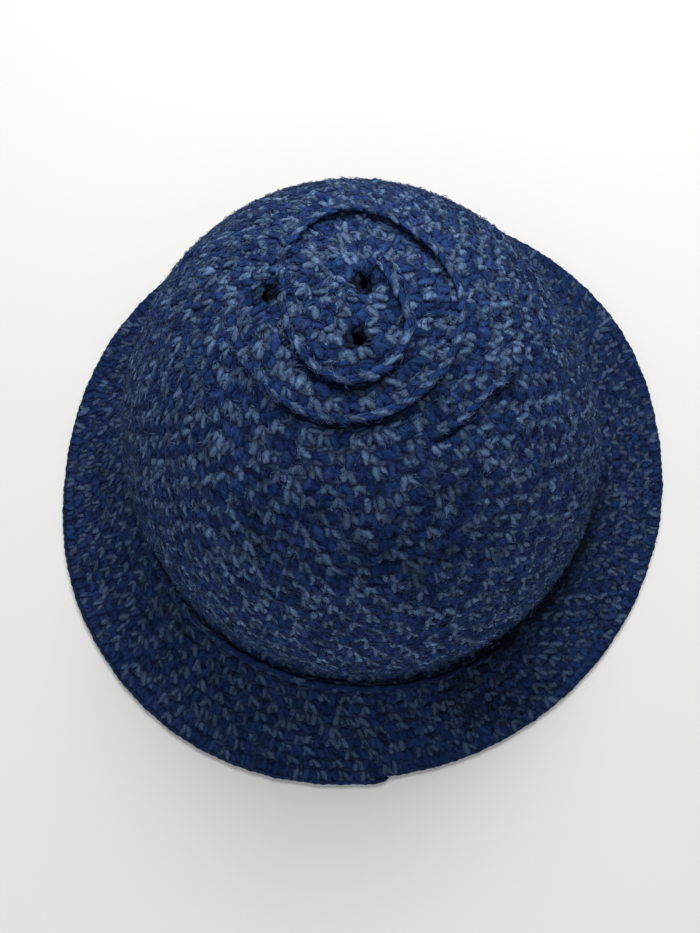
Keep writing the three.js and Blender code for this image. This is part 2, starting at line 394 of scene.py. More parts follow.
class Wire:
    """An output socket that takes part in Python arithmetic by adding Math nodes."""

    def __init__(self, nodes, socket):
        self.nodes = nodes
        self.socket = socket

    def out(self, name):
        """Another output of the same node."""
        return Wire(self.nodes, self.socket.node.outputs[name])

    def maths(self, operation, *others):
        """A Math node on this value and others."""
        operands = dict(enumerate((self, *others)))
        return self.nodes.add("ShaderNodeMath", {"operation": operation}, operands)

    def __add__(self, other):
        return self.maths("ADD", other)

    def __sub__(self, other):
        return self.maths("SUBTRACT", other)

    def __mul__(self, other):
        return self.maths("MULTIPLY", other)

    def __pow__(self, other):
        return self.maths("POWER", other)

    def __rsub__(self, other):
        return self.nodes.add("ShaderNodeMath", {"operation": "SUBTRACT"}, {0: other, 1: self})

    __radd__ = __add__
    __rmul__ = __mul__


class Nodes:
    """Adds nodes to one tree: a node's settings first, then the values or links of its sockets."""

    def __init__(self, tree):
        self.tree = tree

    def add(self, kind, settings=None, sockets=None, out=0):
        """A new node, as the wire of one of its outputs."""
        node = self.tree.nodes.new(kind)
        for name, value in (settings or {}).items():
            setattr(node, name, value)
        for key, value in (sockets or {}).items():
            if isinstance(value, Wire):
                self.tree.links.new(value.socket, node.inputs[key])
            else:
                node.inputs[key].default_value = value
        return Wire(self, node.outputs[out]) if len(node.outputs) else node

    def mix(self, factor, first, second, blend="MIX"):
        """A Mix node on two colours."""
        settings = {"data_type": "RGBA", "blend_type": blend}
        return self.add("ShaderNodeMix", settings, {0: factor, 6: first, 7: second}, out=2)

    def attribute(self, name, out):
        """What a mesh's attribute holds, as a value or a vector."""
        return self.add("ShaderNodeAttribute", {"attribute_name": name}, out=out)

    def noise(self, place, scale, detail):
        """A Noise Texture node read at a place."""
        return self.add("ShaderNodeTexNoise", None, {"Vector": place, "Scale": scale, "Detail": detail})

    def ramp(self, value, low, high, kind="LINEAR"):
        """A Map Range node that takes low to 0 and high to 1."""
        sockets = {"Value": value, "From Min": low, "From Max": high}
        return self.add("ShaderNodeMapRange", {"interpolation_type": kind}, sockets)

    def vector(self, operation, first, second):
        """A Vector Math node on two vectors."""
        return self.add("ShaderNodeVectorMath", {"operation": operation}, {0: first, 1: second})


def leg_tree():
    """Geometry nodes that set one plump yarn leg on every point, along its run and facing out."""
    tree = bpy.data.node_groups.new("yarn_legs", "GeometryNodeTree")
    tree.is_modifier = True
    for name, kind in (
        ("Points", "NodeSocketGeometry"), ("Sides", "NodeSocketInt"), ("Rings", "NodeSocketInt"),
        ("Arch", "NodeSocketFloat"), ("Fullness", "NodeSocketFloat"), ("Unevenness", "NodeSocketFloat"),
        ("Yarn", "NodeSocketMaterial"),
    ):
        tree.interface.new_socket(name, in_out="INPUT", socket_type=kind)
    tree.interface.new_socket("Legs", in_out="OUTPUT", socket_type="NodeSocketGeometry")
    nodes = Nodes(tree)
    given = nodes.add("NodeGroupInput")
    stock = nodes.add(
        "GeometryNodeMeshUVSphere", None,
        {"Segments": given.out("Sides"), "Rings": given.out("Rings"), "Radius": 0.5},
    )
    position = nodes.add("GeometryNodeInputPosition")
    kept = nodes.add(
        "GeometryNodeStoreNamedAttribute", {"data_type": "FLOAT_VECTOR", "domain": "POINT"},
        {"Geometry": stock, "Name": "strand", "Value": position},
    )
    part = nodes.add("ShaderNodeSeparateXYZ", None, {0: position})
    along = part.out("Z")
    girth = (part * part + part.out("Y") * part.out("Y")).maths("SQRT") * 2
    swell = girth.maths("MAXIMUM", LEAST_GIRTH) ** (given.out("Fullness") - 1)
    arch = given.out("Arch") * (1 - along * along * 4)
    bent = nodes.add(
        "ShaderNodeCombineXYZ", None,
        {0: part * swell + arch, 1: part.out("Y") * swell, 2: along},
    )
    leg = nodes.add("GeometryNodeSetPosition", None, {"Geometry": kept, "Position": bent})
    leg = nodes.add("GeometryNodeSetShadeSmooth", None, {0: leg, "Shade Smooth": True})

    def point_value(name):
        return nodes.add("GeometryNodeInputNamedAttribute", {"data_type": "FLOAT_VECTOR"}, {"Name": name})

    turned = nodes.add(
        "FunctionNodeAxesToRotation", {"primary_axis": "Z", "secondary_axis": "X"},
        {"Primary Axis": point_value("run"), "Secondary Axis": point_value("facing")},
    )
    placed = nodes.add(
        "GeometryNodeInstanceOnPoints", None,
        {
            "Points": given.out("Points"), "Instance": leg,
            "Rotation": turned, "Scale": point_value("leg_size"),
        },
    )
    made = nodes.add("GeometryNodeRealizeInstances", None, {0: placed})
    lumps = nodes.noise(position, LUMP_SCALE, 1.0).out("Color")
    about = nodes.vector("SUBTRACT", lumps, (0.5, 0.5, 0.5))
    push = nodes.vector("MULTIPLY", about, given.out("Unevenness"))
    made = nodes.add("GeometryNodeSetPosition", None, {"Geometry": made, "Offset": push})
    made = nodes.add("GeometryNodeSetMaterial", None, {"Geometry": made, "Material": given.out("Yarn")})
    nodes.add("NodeGroupOutput", None, {0: made})
    return tree


# Yarn finishes


def principled(name):
    """A new material with its shader node, ready for its sockets."""
    material = bpy.data.materials.new(name)
    material.use_nodes = True
    shader = material.node_tree.nodes["Principled BSDF"]
    return material, Nodes(material.node_tree), shader


def link(nodes, wire, shader, socket):
    """Feeds a shader's socket."""
    nodes.tree.links.new(wire.socket, shader.inputs[socket])


def dyed(colour, look, on_brim):
    """A yarn's colour with its alpha, darkened with painted shade where it is on the brim."""
    tint = look.brim_shade if on_brim else (1, 1, 1)
    return (*(value * share for value, share in zip(colour, tint)), 1)


def yarn_material(name, look, on_brim):
    """Soft plied yarn: navy or grey by stitch, heathered along its fibres, with a dusty nap."""
    material, nodes, shader = principled(name)
    contrast, grain = (look.brim_contrast, look.brim_grain) if on_brim else (1.0, 1.0)
    tone = nodes.attribute("tone", "Fac")
    # Each leg's own random tone, with painted shade and painted highlight added into it
    dye = nodes.attribute("dye", "Fac")
    part = nodes.add("ShaderNodeSeparateXYZ", None, {0: nodes.attribute("strand", "Vector")})
    lay = part.out("Y").maths("ARCTAN2", part) + part.out("Z") * look.ply_twist
    ply = lay.maths("SINE") * 0.5 + 0.5
    fibre_place = nodes.add("ShaderNodeCombineXYZ", None, {
        0: lay.maths("COSINE") * YARN.fibre_girth,
        1: lay.maths("SINE") * YARN.fibre_girth,
        2: part.out("Z") * YARN.fibre_stretch + dye * YARN.fibre_shift,
    })
    fibre = nodes.noise(fibre_place, YARN.fibre_scale, YARN.fibre_detail)
    spot = nodes.add("ShaderNodeTexCoord", out="Object")
    ragged = nodes.noise(spot, YARN.ragged_scale, YARN.ragged_detail) - 0.5
    ends = (part.out("Z") * 2) ** 4
    aside = part.out("Y").maths("ABSOLUTE")
    crest = YARN.crest + part * YARN.crest_rise - aside * YARN.crest_sides
    crest = crest + ragged * YARN.crest_ragged - ends * YARN.crest_ends
    worn = nodes.ramp(crest, *YARN.crest_range, "SMOOTHSTEP")
    streak = nodes.ramp(fibre, *YARN.streak_range)
    light = (tone * worn).maths("MAXIMUM", streak * streak * look.heather)
    yarn = nodes.mix(light * contrast, dyed(look.navy, look, on_brim), dyed(look.grey, look, on_brim))
    # Painted shade: the ply term darkens the yarn in the grooves between its plies; the streaks are its own
    # heathering
    marks = streak * YARN.streak_shade + ply * YARN.ply_shade - YARN.mean_shade
    shade = (YARN.shade + dye * YARN.dye_shade).maths("MAXIMUM", YARN.least_shade) * (1 + marks * grain)
    hue = ((dye * YARN.hue_steps).maths("FRACT") - 0.5) * (1 - tone * YARN.grey_hue)
    dark_light = nodes.add("ShaderNodeCombineXYZ", None, {
        0: shade * (1 + hue * look.hue_spread),
        1: shade * (1 - hue * (YARN.green_hue * look.hue_spread)),
        2: shade,
    })
    link(nodes, nodes.mix(1.0, yarn, dark_light, "MULTIPLY"), shader, "Base Color")
    bare = nodes.add("ShaderNodeNewGeometry", out="Normal")
    facing = nodes.attribute("facing", "Vector")
    felting = {0: look.softness, 4: bare, 5: facing}
    felted = nodes.add("ShaderNodeMix", {"data_type": "VECTOR"}, felting, out=1)
    raised = nodes.add("ShaderNodeBump", None, {
        "Strength": YARN.bump_strength, "Distance": YARN.bump_height,
        "Height": ply * YARN.ply_relief + fibre * YARN.fibre_relief,
        "Normal": nodes.add("ShaderNodeVectorMath", {"operation": "NORMALIZE"}, {0: felted}),
    })
    link(nodes, raised, shader, "Normal")
    finish_fabric(shader, look)
    return material


def finish_fabric(shader, look):
    """The dull surface and the dusty nap that all the yarn shares."""
    for socket, value in (
        ("Roughness", YARN.roughness), ("Specular IOR Level", YARN.specular), ("Sheen Weight", look.nap),
        ("Sheen Roughness", YARN.nap_roughness), ("Sheen Tint", (*look.nap_colour, 1)),
    ):
        shader.inputs[socket].default_value = value


def pit_depth(nodes, place):
    """How near a point is to one of the loose gaps, from 0 to 1: the weight of the painted shade there."""
    part = nodes.add("ShaderNodeSeparateXYZ", None, {0: place})
    pits = []
    for row in CROWN_HOLES:
        aside = part - float(row["x"] * MM + HAT_SHIFT[0])
        ahead = part.out("Y") - float(row["y"] * MM + HAT_SHIFT[1])
        away = (aside * aside + ahead * ahead).maths("SQRT")
        rim = float(row["radius"] * MM)
        pits.append(nodes.ramp(away, rim + FUNNEL_REACH, rim))
    deepest = pits[0]
    for pit in pits[1:]:
        deepest = deepest.maths("MAXIMUM", pit)
    return deepest


def backing_material(name, look, on_brim):
    """The dark ground of the cloth that shows between the stitches and inside the hat, with painted shade
    round the loose gaps.
    """
    material, nodes, shader = principled(name)
    place = nodes.add("ShaderNodeTexCoord", out="Object")
    patch = nodes.noise(place, GROUND.patch_scale, GROUND.patch_detail)
    grain = nodes.noise(place, GROUND.grain_scale, GROUND.grain_detail)
    navy = np.array(look.navy)
    mild = GROUND.mild_navy * navy + GROUND.mild_grey * np.array(look.grey)
    deep, mild, pit = (dyed(c, look, on_brim) for c in (GROUND.deep * navy, mild, GROUND.pit * navy))
    cloth = nodes.mix(patch, deep, mild)
    # Painted shade darkens the ground round the loose gaps
    link(nodes, nodes.mix(pit_depth(nodes, place), cloth, pit), shader, "Base Color")
    relief = {"Strength": GROUND.bump_strength, "Distance": GROUND.bump_height, "Height": grain}
    link(nodes, nodes.add("ShaderNodeBump", None, relief), shader, "Normal")
    finish_fabric(shader, look)
    return material


def slot_material(kind, make, slot, look):
    """The finish of one kind of piece in a slot, made the first time that it is asked for."""
    name = f"{slot}_{kind}"
    return bpy.data.materials.get(name) or make(name, look, slot == "brim_yarn")


# Pieces


def add_object(name, data):
    """A new object at the origin, shown in the scene."""
    piece = bpy.data.objects.new(name, data)
    bpy.context.scene.collection.objects.link(piece)
    return piece


def settle(piece, node=None):
    """Makes a finished piece part of the hat."""
    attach(piece, "root")
    if node:
        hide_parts(node)


def plain_mesh(piece):
    """Turns a piece with modifiers into a plain mesh."""
    graph = bpy.context.evaluated_depsgraph_get()
    mesh = bpy.data.meshes.new_from_object(piece.evaluated_get(graph))
    if not len(mesh.polygons):
        raise RuntimeError(f"{piece.name} came out empty")
    piece.modifiers.clear()
    points = piece.data
    piece.data = mesh
    bpy.data.meshes.remove(points)
    mesh.name = piece.name
    return piece


def crochet(name, legs, slot, look, facets=LEG_FACETS, arch=None, unevenness=None):
    """One piece of yarn legs from a table of points, runs, facings, sizes and colours."""
    mesh = bpy.data.meshes.new(name)
    mesh.vertices.add(len(legs["place"]))
    mesh.vertices.foreach_set("co", legs["place"].astype(np.float32).ravel())
    for column in ("run", "facing", "leg_size"):
        layer = mesh.attributes.new(column, "FLOAT_VECTOR", "POINT")
        layer.data.foreach_set("vector", legs[column].astype(np.float32).ravel())
    # The second value holds each leg's own random tone with painted shade and painted highlight added in
    for column in ("tone", "dye"):
        layer = mesh.attributes.new(column, "FLOAT", "POINT")
        layer.data.foreach_set("value", legs[column].astype(np.float32))
    piece = add_object(name, mesh)
    tree = bpy.data.node_groups.get("yarn_legs") or leg_tree()
    modifier = piece.modifiers.new("yarn legs", "NODES")
    modifier.node_group = tree
    wanted = {
        "Sides": facets[0], "Rings": facets[1], "Fullness": look.leg_fullness,
        "Arch": look.leg_arch if arch is None else arch,
        "Unevenness": look.unevenness if unevenness is None else unevenness,
        "Yarn": slot_material("stitch", yarn_material, slot, look),
    }
    for item in tree.interface.items_tree:
        if item.in_out == "INPUT" and item.name in wanted:
            modifier[item.identifier] = wanted[item.name]
    plain_mesh(piece)
    rest_on_floor(piece.data)
    for column in ("run", "leg_size"):
        layer = piece.data.attributes.get(column)
        if layer:
            piece.data.attributes.remove(layer)
    settle(piece)


def rest_on_floor(mesh):
    """Presses flat whatever would reach below the floor."""
    places = np.empty(3 * len(mesh.vertices), np.float32)
    mesh.vertices.foreach_get("co", places)
    places[2::3] = np.maximum(places[2::3], 0)
    mesh.vertices.foreach_set("co", places)
    mesh.update()


def join_legs(*tables):
    """Several tables of legs as one."""
    return {column: np.concatenate([legs[column] for legs in tables]) for column in tables[0]}


def keep_legs(legs, wanted):
    """The rows of a table of legs for which wanted holds."""
    return {column: values[wanted] for column, values in legs.items()}


def scatter(rng, middle, spread, count):
    """Turns round a middle, given in degrees and made radians."""
    return rng.normal(math.radians(middle), math.radians(spread), count)


def stitch_legs(frames, grey, look, rng):
    """Two slanted legs for each stitch, closing to a point towards the crown's middle."""
    place, facing, sideways, downward = frames
    count = len(place)
    shade = rng.random(count)
    lean = look.lean + scatter(rng, 0, STITCH.lean_spread, count)
    size = np.array([look.leg_height, look.leg_width, look.leg_length])
    tables = []
    for side in (-1, 1):
        slant = lean - side * look.splay + scatter(rng, 0, STITCH.slant_spread, count)
        run = -downward * np.cos(slant)[:, None] + sideways * np.sin(slant)[:, None]
        run = run - facing * math.tan(look.tuck)
        aside = side * STITCH.aside * look.stitch_width + rng.normal(0, STITCH.aside_spread, count)
        drop = rng.normal(STITCH.drop, STITCH.drop_spread, count)
        depth = LEG_DEPTH + rng.normal(0, STITCH.depth_spread, count)
        centre = place + sideways * aside[:, None] + downward * drop[:, None] - facing * depth[:, None]
        tables.append({
            "place": centre, "run": run, "facing": facing,
            "leg_size": size * rng.normal(1, STITCH.size_spread, (count, 3)),
            "tone": marled(grey, rng),
            "dye": np.clip(shade + rng.normal(0, STITCH.dye_spread, count), 0, 1),
        })
    return join_legs(*tables)


def marled(grey, rng):
    """How light each leg is: its stitch's colour, with a little of the other strand."""
    light = rng.uniform(*STITCH.grey_tone, len(grey))
    return np.where(grey, light, STITCH.navy_tone * rng.random(len(grey)) ** 2)


def top_loops(frames, grey, row_height, look, rng):
    """The short level loops between one round and the one above, darker than the legs as painted shade
    between the rounds.
    """
    place, facing, sideways, downward = frames
    count = len(place)
    slant = scatter(rng, LOOP.slant, LOOP.slant_spread, count)
    run = sideways * np.cos(slant)[:, None] + downward * np.sin(slant)[:, None]
    aside = rng.normal(LOOP.aside, LOOP.aside_spread, count) * look.stitch_width
    up = rng.normal(LOOP.up, LOOP.up_spread, count) * row_height
    centre = place + sideways * aside[:, None] - downward * up[:, None] - facing * LEG_DEPTH
    size = np.array([look.leg_height, LOOP.width * look.leg_width, LOOP.length * look.leg_length])
    tone = LOOP.tone * np.where(rng.random(count) < LOOP.own_tone, grey, np.roll(grey, 1))
    return {
        "place": centre, "run": run, "facing": facing,
        "leg_size": size * rng.normal(1, LOOP.size_spread, (count, 3)),
        "tone": tone, "dye": rng.uniform(*LOOP.dye, count),
    }


def from_gap(place, row):
    """How far points are from the middle of a loose gap, seen from above."""
    return np.hypot(place[:, 0] - row["x"] * MM - HAT_SHIFT[0], place[:, 1] - row["y"] * MM - HAT_SHIFT[1])


def gap_funnel(place):
    """How deep the cloth dips round the loose gaps, from 0 to 1."""
    dip = np.zeros(len(place))
    for row in CROWN_HOLES:
        rim = np.maximum(from_gap(place, row) - row["radius"] * MM, 0)
        dip = np.maximum(dip, bump(rim / FUNNEL_REACH))
    return dip


def sink_into_creases(legs, ridge):
    """Sinks the stitches on the ridge's near side and around the loose gaps, and darkens them there with
    painted shade.
    """
    place = legs["place"]
    gaps = place[:, None, :] - ridge[None, :, :]
    away = np.linalg.norm(gaps, axis=-1)
    nearest = np.argmin(away, axis=1)
    rows = np.arange(len(place))
    nearness = away[rows, nearest]
    near_side = np.clip(-gaps[rows, nearest, 1] / np.maximum(nearness, MM), 0, 1)
    sunk = near_side * bump((nearness - CREASE_REACH) / CREASE_REACH)
    funnel = gap_funnel(place)
    sunk = np.maximum(sunk, funnel)
    legs["leg_size"] = legs["leg_size"] * (1 - FUNNEL_SHRINK * funnel)[:, None]
    legs["place"] = place - legs["facing"] * (CREASE_DEPTH * sunk)[:, None]
    # Painted shade: the sunk stitches darken where the ridge and the gaps would shade them
    legs["dye"] = legs["dye"] - CREASE_SHADE * sunk
    return legs


def fold_shade(place):
    """How much painted shade darkens the yarn deep in the fold where the brim presses up against the crown.
    """
    x, y, z = (place - HAT_SHIFT).T
    along = bump(turn_between(np.degrees(np.arctan2(y, x)), FOLD_ANGLE) / FOLD_HALF_SPAN)
    away = np.hypot(np.hypot(x, y) - JOIN_RADIUS - FOLD_OFFSET, z - JOIN_HEIGHT + FOLD_OFFSET)
    return FOLD_SHADE * along * bump(away / FOLD_REACH)


def shade_patches(legs):
    """Darkens the yarn with painted shade in the patches and in the fold at the join."""
    depth = fold_shade(legs["place"])
    for row in DARK_PATCHES:
        middle = np.array([row["x"], row["y"], row["z"]]) * MM
        away = np.linalg.norm(legs["place"] - middle, axis=1)
        depth = depth + row["depth"] * bump(away / (row["reach"] * MM))
    legs["dye"] = legs["dye"] - depth
    legs["tone"] = legs["tone"] * (1 - PATCH_FADE * np.minimum(depth, PATCH_DEEPEST))
    return legs


def loose_fibres(legs, count, look, rng):
    """Fine fibres that stand off the yarn and blur its edges, roughly along their own legs."""
    leg = keep_legs(legs, rng.integers(0, len(legs["place"]), count))
    facing = leg["facing"]
    run = unit(leg["run"])
    across = unit(np.cross(facing, run))
    turn = rng.uniform(-FIBRE.turn, FIBRE.turn, count)
    height, width, length = leg["leg_size"].T
    out = height * (FIBRE.girth * np.cos(turn) + FIBRE.arch * look.leg_arch) + FIBRE.lift
    slide = rng.uniform(-FIBRE.slide, FIBRE.slide, count) * length
    aside = FIBRE.aside * width * np.sin(turn)
    place = leg["place"] + facing * out[:, None] + across * aside[:, None] + run * slide[:, None]
    swing = rng.normal(0, FIBRE.swing, count)
    rise = rng.normal(0, FIBRE.rise, count)
    aim = run * np.cos(swing)[:, None] + across * np.sin(swing)[:, None] + facing * rise[:, None]
    out_turn = unit(facing + across * np.tan(turn * FIBRE.tilt)[:, None])
    thick = rng.uniform(*FIBRE.thickness, count)
    size = np.stack([thick, thick, rng.uniform(*FIBRE.length, count)], -1)
    dye = leg["dye"] + rng.uniform(*FIBRE.dye, count)
    tone = FIBRE.tone + FIBRE.leg_tone * leg["tone"] + rng.normal(0, FIBRE.tone_spread, count)
    return {
        "place": place, "run": aim, "facing": out_turn, "leg_size": size,
        "tone": np.clip(tone, 0, 1), "dye": dye,
    }


def checker(rows, look, rng):
    """Grey or navy for each stitch of each round: unlike its neighbour, and unlike the stitch above it.

    Each row holds the places of its stitches as shares of a turn. Where the two rules disagree,
    because a round has more stitches than the one above, the yarn takes its chance.
    """
    pattern = []
    for row in rows:
        above = pattern[-1] if pattern else None
        grey = np.zeros(len(row), bool)
        for index, place in enumerate(row):
            wanted = [not grey[index - 1]]
            if above is not None:
                away = np.abs((rows[len(pattern) - 1] - place + 0.5) % 1 - 0.5)
                wanted.append(not above[np.argmin(away)])
            agreed = wanted[0] == wanted[-1]
            grey[index] = wanted[0] if agreed else rng.random() < look.grey_share
            if rng.random() < look.mistakes:
                grey[index] = not grey[index]
        pattern.append(grey)
    return np.concatenate(pattern)


def ridge_path(ridge):
    """Points and facings along a raised ridge on the crown."""
    place = np.linspace(0, len(ridge) - 1, RIDGE_STEPS * len(ridge))
    angle = smooth_column(ridge["angle"], place, "edge")
    distance = smooth_column(ridge["distance"], place, "edge") * MM
    points, facing, _, _ = crown_frame(angle, distance)
    return points, facing


def rope_legs(points, facing, rope, rng):
    """A ridge of long slanted loops along a path, by turns grey and navy."""
    steps = np.linalg.norm(np.diff(points, axis=0), axis=1)
    length = np.concatenate([[0], np.cumsum(steps)])
    pitch = rope.pitch * MM
    count = max(2, round(length[-1] / pitch))
    stops = (np.arange(count) + 0.5) / count * length[-1]

    def along_path(values, stops):
        return np.stack([np.interp(stops, length, axis) for axis in values.T], -1)

    out = unit(along_path(facing, stops))
    path = unit(along_path(points, stops + pitch / 4) - along_path(points, stops - pitch / 4))
    slant = scatter(rng, rope.slant, ROPE_SLANT_SPREAD, count)
    run = path * np.cos(slant)[:, None] + np.cross(out, path) * np.sin(slant)[:, None]
    grey = (np.arange(count) % 2 == 0) & (rng.random(count) < 2 * rope.grey_share)
    size = np.array([rope.height, rope.width, rope.length]) * MM
    return {
        "place": along_path(points, stops) + out * rope.raised * MM, "run": run, "facing": out,
        "leg_size": size * rng.normal(1, ROPE_SIZE_SPREAD, (count, 3)),
        "tone": grey.astype(float), "dye": rng.random(count) + rope.dye,
    }


def thin_out(rope, fade, to_end=True):
    """Thins a rope's loops by a table of sizes along it, and gives each loop's share of its size."""
    along = np.linspace(0, 1, len(rope["dye"]), endpoint=to_end)
    share = np.interp(along, fade["along"], fade["size"])
    rope["leg_size"] = rope["leg_size"] * share[:, None]
    return share


def shell_mesh(name, rings, closed_ends):
    """A closed skin through rings of points, with a single point where an end ring closes on itself."""
    count = len(rings[0])
    points = []
    starts = []
    for index, ring in enumerate(rings):
        starts.append(len(points))
        pole = closed_ends and index in (0, len(rings) - 1)
        points.extend([ring.mean(axis=0)] if pole else ring)
    faces = []
    pairs = list(zip(range(len(rings) - 1), range(1, len(rings))))
    if not closed_ends:
        pairs.append((len(rings) - 1, 0))
    for upper, lower in pairs:
        for j in range(count):
            k = (j + 1) % count
            if closed_ends and upper == 0:
                faces.append((starts[0], starts[1] + j, starts[1] + k))
            elif closed_ends and lower == len(rings) - 1:
                faces.append((starts[upper] + j, starts[lower], starts[upper] + k))
            else:
                faces.append((starts[upper] + j, starts[lower] + j, starts[lower] + k, starts[upper] + k))
    mesh = bpy.data.meshes.new(name)
    mesh.from_pydata([tuple(point) for point in points], [], faces)
    mesh.polygons.foreach_set("use_smooth", np.ones(len(faces), bool))
    mesh.update()
    return mesh


def hole_cutter():
    """Upright round rods where the crown's top has loose gaps between its stitches."""
    points, faces = [], []
    angle = np.arange(HOLE_SIDES) * 360 / HOLE_SIDES
    for row in CROWN_HOLES:
        base = len(points)
        for height in HOLE_ROD:
            ring = on_ray(angle, row["radius"] * MM, np.full(HOLE_SIDES, height))
            points.extend(ring + (row["x"] * MM, row["y"] * MM, 0))
        lower = [base + step for step in range(HOLE_SIDES)]
        upper = [corner + HOLE_SIDES for corner in lower]
        for j, k in zip(range(HOLE_SIDES), [*range(1, HOLE_SIDES), 0]):
            faces.append((lower[j], lower[k], upper[k], upper[j]))
        faces.extend([lower[::-1], upper])
    mesh = bpy.data.meshes.new("hole_cutter")
    mesh.from_pydata([tuple(point) for point in points], [], faces)
    return add_object("hole_cutter", mesh)


# Settings that a user would change


def number_prop(name, description, default, **kind):
    """A number with its unit or subtype, if one fits."""
    return bpy.props.FloatProperty(name=name, description=description, default=default, **kind)


def length_prop(name, description, millimetres):
    """A length."""
    return number_prop(name, description, millimetres * MM, unit="LENGTH")


def angle_prop(name, description, degrees):
    """An angle."""
    return number_prop(name, description, math.radians(degrees), subtype="ANGLE")


def share_prop(name, description, default):
    """A share of a whole."""
    return number_prop(name, description, default, subtype="FACTOR")


def count_prop(name, description, default):
    """A whole number."""
    return bpy.props.IntProperty(name=name, description=description, default=default)


def triple_prop(name, description, default, subtype="COLOR"):
    """A colour, or a place."""
    return bpy.props.FloatVectorProperty(
        name=name, description=description, default=default, subtype=subtype)


class HatLook(bpy.types.PropertyGroup):
    """Sizes and colours of the yarn and its stitches."""

    stitch_width: length_prop("Stitch Width", "Width of one stitch along its round", 4.5)
    crown_row: length_prop("Crown Row", "Height of one round on the crown", 4.75)
    brim_rows: count_prop("Brim Rounds", "Rounds from the join to the brim's edge", 10)
    leg_length: length_prop("Leg Length", "Length of one leg of a stitch", 5.6)
    leg_width: length_prop("Leg Width", "Width of one leg of a stitch", 3.1)
    leg_height: length_prop("Leg Height", "Thickness of one leg of a stitch", 1.2)
    leg_arch: number_prop("Leg Arch", "How far a leg's middle stands over its ends, in leg heights", 0.28)
    leg_fullness: number_prop("Leg Fullness", "How sharply a leg narrows to its ends", 0.8)
    unevenness: length_prop("Unevenness", "How far the yarn swells and shrinks", 1.4)
    splay: angle_prop("Splay", "Slant of each leg from its stitch's middle", 24)
    lean: angle_prop("Lean", "Slant of the whole stitch along its round", -20)
    tuck: angle_prop("Tuck", "How far each leg's upper end dips under the round above", 9)
    drift: number_prop("Drift", "How far each round starts beside the one above, in stitches", 0.35)
    grey_share: share_prop("Grey Share", "How often a doubtful stitch is grey", 0.46)
    mistakes: share_prop("Mistakes", "Share of the stitches that break the pattern of colours", 0.04)
    crown_fibres: count_prop("Crown Fibres", "Number of loose fibres on the crown", 57000)
    brim_fibres: count_prop("Brim Fibres", "Number of loose fibres on the brim", 17000)
    ridge_fibres: count_prop("Ridge Fibres", "Number of loose fibres on the raised spiral", 1100)
    # Painted shade: the brim's yarn is darkened beside the crown's, with a slight purple cast
    brim_shade: triple_prop("Brim Shade", "Brightness of the brim's yarn beside the crown's", (0.7, 0.66, 0.6))
    brim_contrast: share_prop("Brim Contrast", "How far the brim's grey yarn parts from the navy", 0.58)
    brim_grain: share_prop("Brim Grain", "How strongly the fibres mark the brim's yarn", 0.35)
    brim_relief: share_prop("Brim Relief", "How thick the brim's stitches are beside the crown's", 0.7)
    ply_twist: number_prop("Ply Twist", "Turn of the plies along one leg", 5.0, subtype="ANGLE")
    navy: triple_prop("Navy Yarn", "Colour of the dark yarn", (0.0115, 0.0335, 0.138))
    grey: triple_prop("Grey Yarn", "Colour of the light yarn", (0.116, 0.186, 0.312))
    softness: share_prop("Softness", "How far felting evens out the light on each stitch", 0.76)
    heather: share_prop("Heather", "Share of grey fibres in the navy yarn", 0.12)
    hue_spread: share_prop("Hue Spread", "How far stitches differ between purple and teal", 0.36)
    nap: share_prop("Nap", "Strength of the dusty nap on the yarn", 0.11)
    nap_colour: triple_prop("Nap Colour", "Colour of the dusty nap", (0.28, 0.42, 0.66))
    seed: count_prop("Seed", "Seed of the yarn's unevenness", 7)


class HatStage(bpy.types.PropertyGroup):
    """The floor, the light and the camera."""

    floor_colour: triple_prop("Floor Colour", "Colour of the plain floor", (0.68, 0.67, 0.655))
    key_power: number_prop("Key Light", "Power of the soft light behind the hat", 13.0, unit="POWER")
    fill_power: number_prop("Fill Light", "Power of the weak light before the hat", 2.7, unit="POWER")
    sky_strength: number_prop("Sky Light", "Strength of the even light from all round", 0.4)
    camera_place: triple_prop(
        "Camera Place", "Where the camera stands", (-0.00668, -0.10636, 0.3228), "TRANSLATION")
    camera_drop: angle_prop("Camera Drop", "How far below the horizon the camera looks", 72)
    lens: number_prop("Lens", "Focal length for a 36 mm high sensor, in millimetres", 27.78)


# Operators, one for each group of pieces


class HatOperator:
    """What all the hat's operators share."""

    bl_options = {"REGISTER", "UNDO"}

    @property
    def look(self):
        """The yarn's settings."""
        return bpy.context.scene.hat_look


